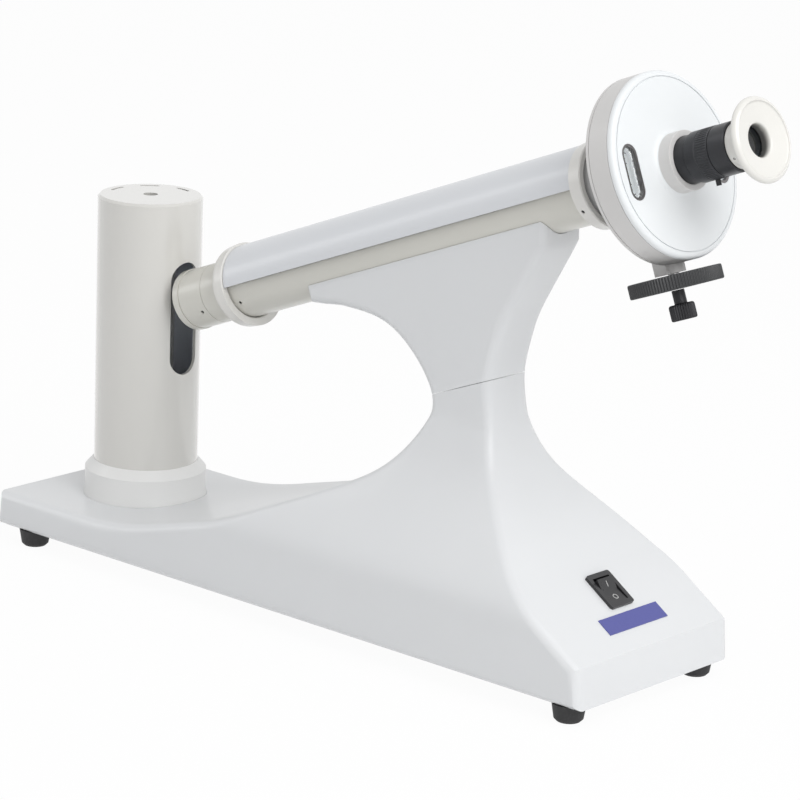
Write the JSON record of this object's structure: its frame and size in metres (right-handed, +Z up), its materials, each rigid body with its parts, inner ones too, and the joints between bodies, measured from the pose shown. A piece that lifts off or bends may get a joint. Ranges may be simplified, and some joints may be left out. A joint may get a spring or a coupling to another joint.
{
  "type": "disc polarimeter",
  "caption": "Visual disc polarimeter: inclined observation tube with lidded sample trough, lamp column, vernier dial with handwheel, eyepiece and switch on a cast stand.",
  "frame": {"origin": "centre of the bounding box in plan, at the level of the feet", "axes": "+Z up; +X to the eyepiece end, level; +Y to the side away from the picture's camera"},
  "size_m": [0.5098, 0.1328, 0.3372],
  "materials": {
    "stand_paint": "satin cool grey-white enamel",
    "tube_paint": "satin warm grey enamel",
    "white_paint": "gloss off-white enamel",
    "column_paint": "gloss beige-grey enamel",
    "dial_paint": "satin near-white enamel",
    "black_metal": "black anodised",
    "black_plastic": "moulded black",
    "beige_plastic": "moulded beige",
    "bare_alloy": "turned and brushed",
    "brass_part": "machined",
    "steel_part": "zinc plated",
    "core_steel": "stacked laminations, varnished",
    "coil_wrap": "taped winding",
    "foot_rubber": "matt moulded",
    "optic_glass": "clear polished",
    "amber_glass": "coloured filter glass",
    "lamp_glass": "lamp envelope",
    "film_glass": "dichroic film between plates",
    "frosted_glass": "finely ground",
    "dial_face": "matt engraved scale",
    "ceramic_part": "glazed",
    "label_film": "plain blue printed film"
  },
  "bodies": {
    "base": {"base_casting": "stand_paint", "saddle_bracket": "stand_paint", "bottom_plate": "steel_part", "foot_front_near": "foot_rubber", "foot_front_far": "foot_rubber", "foot_rear_near": "foot_rubber", "foot_rear_far": "foot_rubber", "seam_bolt_rear": "steel_part", "seam_bolt_front": "steel_part", "lamp_collar": "column_paint", "lamp_socket": "ceramic_part", "sodium_lamp": "lamp_glass", "ballast_core": "core_steel", "ballast_coil": "coil_wrap", "cord_gland": "black_plastic", "switch_bezel": "black_plastic", "name_plate": "label_film", "rear_flange": "tube_paint", "rear_barrel": "tube_paint", "rear_sleeve": "tube_paint", "rear_cup": "white_paint", "ground_glass": "frosted_glass", "condenser_lens": "optic_glass", "colour_filter": "amber_glass", "polarizer": "film_glass", "half_wave_plate": "film_glass", "main_tube": "tube_paint", "front_ring": "white_paint", "neck_tube": "black_metal", "dial_housing": "dial_paint", "dial_cover": "dial_paint", "window_frame_near": "bare_alloy", "window_frame_far": "bare_alloy", "window_glass_near": "optic_glass", "window_glass_far": "optic_glass", "vernier_near": "dial_face", "vernier_far": "dial_face", "shaft_bush": "brass_part", "eyepiece_tube": "black_metal", "objective_lens": "optic_glass", "sample_tube": "optic_glass", "sample_cap_rear": "bare_alloy", "sample_cap_front": "bare_alloy"},
    "column": {"column_shell": "column_paint", "column_cap": "column_paint"},
    "rocker": {"switch_rocker": "black_plastic"},
    "lid": {"lid_shell": "tube_paint"},
    "dial": {"dial_hub": "brass_part", "dial_disc": "dial_face", "analyzer": "film_glass"},
    "wheel": {"handwheel": "black_plastic", "drive_shaft": "steel_part", "drive_pinion": "brass_part"},
    "fine": {"fine_knob": "black_metal"},
    "focus": {"focus_ring": "black_metal", "guide_screw": "steel_part"},
    "ocular": {"ocular_barrel": "black_metal", "eyecup": "beige_plastic", "eye_lens": "optic_glass"}
  },
  "joints": [
    {"name": "column_lift", "type": "slide", "parent": "base", "child": "column", "axis": [0, 0, 1], "range_m": [0, 0.16]},
    {"name": "rocker_tip", "type": "hinge", "parent": "base", "child": "rocker", "pos_m": [0.16174, 0, 0.05107], "axis": [0, -1, 0], "range_deg": [0, 18]},
    {"name": "lid_hinge", "type": "hinge", "parent": "base", "child": "lid", "pos_m": [0.00702, 0.0218, 0.22066], "axis": [-0.9304, 0, -0.3665], "range_deg": [0, 110]},
    {"name": "dial_spin", "type": "hinge", "parent": "base", "child": "dial", "pos_m": [0.18267, 0, 0.2877], "axis": [0.9304, 0, 0.3665], "continuous": true},
    {"name": "wheel_spin", "type": "hinge", "parent": "base", "child": "wheel", "pos_m": [0.19648, 0, 0.23081], "axis": [-0.3665, 0, 0.9304], "continuous": true},
    {"name": "fine_spin", "type": "hinge", "parent": "base", "child": "fine", "pos_m": [0.20235, 0, 0.21592], "axis": [-0.3665, 0, 0.9304], "continuous": true},
    {"name": "focus_turn", "type": "hinge", "parent": "base", "child": "focus", "pos_m": [0.2143, 0, 0.30016], "axis": [0.9304, 0, 0.3665], "range_deg": [0, 120]},
    {"name": "ocular_slide", "type": "slide", "parent": "base", "child": "ocular", "axis": [0.9304, 0, 0.3665], "range_m": [0, 0.003]}
  ],
  "couplings": [
    {"joint": "wheel_spin", "follows": "dial_spin", "ratio": 6},
    {"joint": "fine_spin", "follows": "dial_spin", "ratio": 30},
    {"joint": "focus_turn", "follows": "ocular_slide", "rad_per_m": 698.11}
  ]
}
